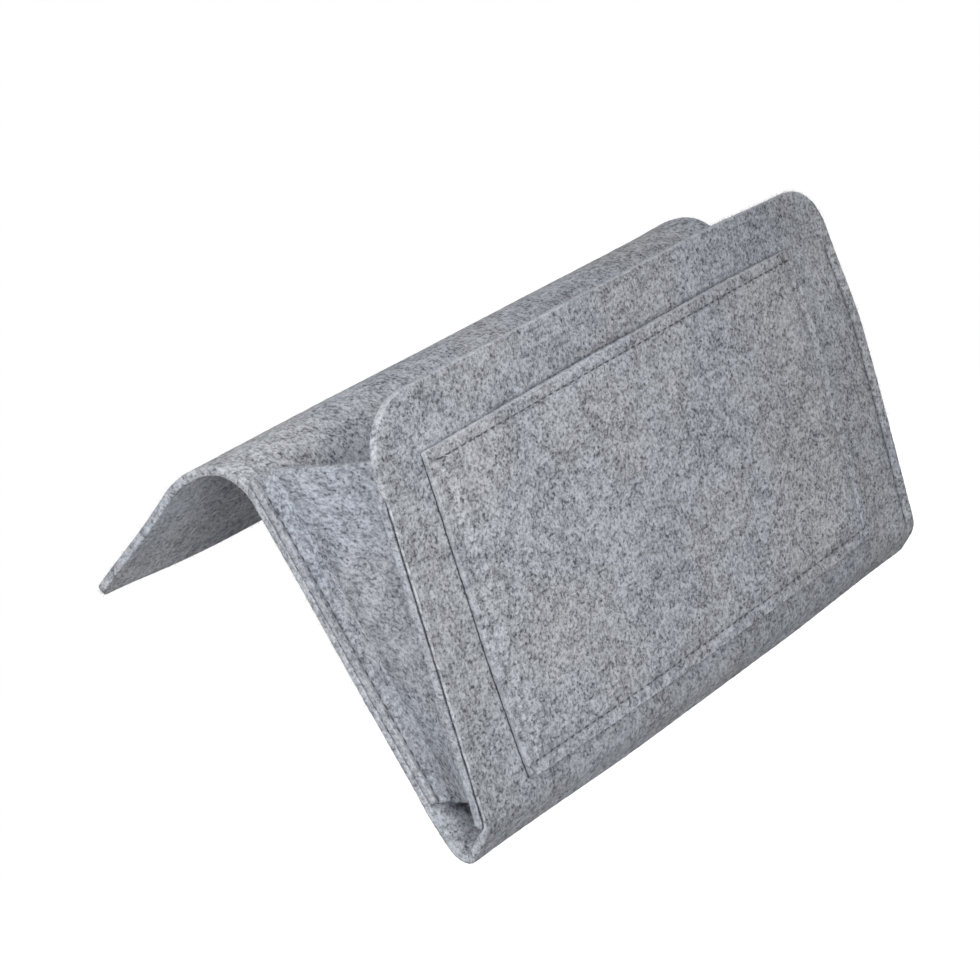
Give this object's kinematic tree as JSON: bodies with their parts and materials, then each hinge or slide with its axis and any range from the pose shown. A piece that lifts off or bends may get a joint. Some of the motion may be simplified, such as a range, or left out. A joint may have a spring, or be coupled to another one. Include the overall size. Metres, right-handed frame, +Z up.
{
  "type": "hanging storage organizer",
  "caption": "Felt bed-edge caddy: a mattress flap, a soft top bend and an open V-shaped bag with side gussets and a front slip pocket.",
  "frame": {"origin": "middle of the mattress flap's upper face", "axes": "+X along the width, towards the right side seen from the front; +Y under the mattress, square to the back panel; +Z up"},
  "size_m": [0.32, 0.1779, 0.1774],
  "materials": {
    "body_felt": "heathered grey needle felt, matt",
    "pocket_felt": "heathered grey needle felt, matt",
    "gusset_felt": "heathered blue-grey needle felt, matt"
  },
  "bodies": {
    "mattress_flap": {"mattress_flap": "body_felt"},
    "bag": {"back_panel": "body_felt", "left_gusset": "gusset_felt", "right_gusset": "gusset_felt"},
    "bag_front": {"front_panel": "body_felt", "front_pocket": "pocket_felt"}
  },
  "joints": [
    {"name": "top_bend", "type": "hinge", "parent": "mattress_flap", "child": "bag", "pos_m": [0, -0.07202, 0.00146], "axis": [1, 0, 0], "range_deg": [-90, 70]},
    {"name": "bottom_fold", "type": "hinge", "parent": "bag", "child": "bag_front", "pos_m": [0, -0.08463, -0.16295], "axis": [1, 0, 0], "range_deg": [-15, 0], "deforming": ["left_gusset", "right_gusset"]}
  ]
}
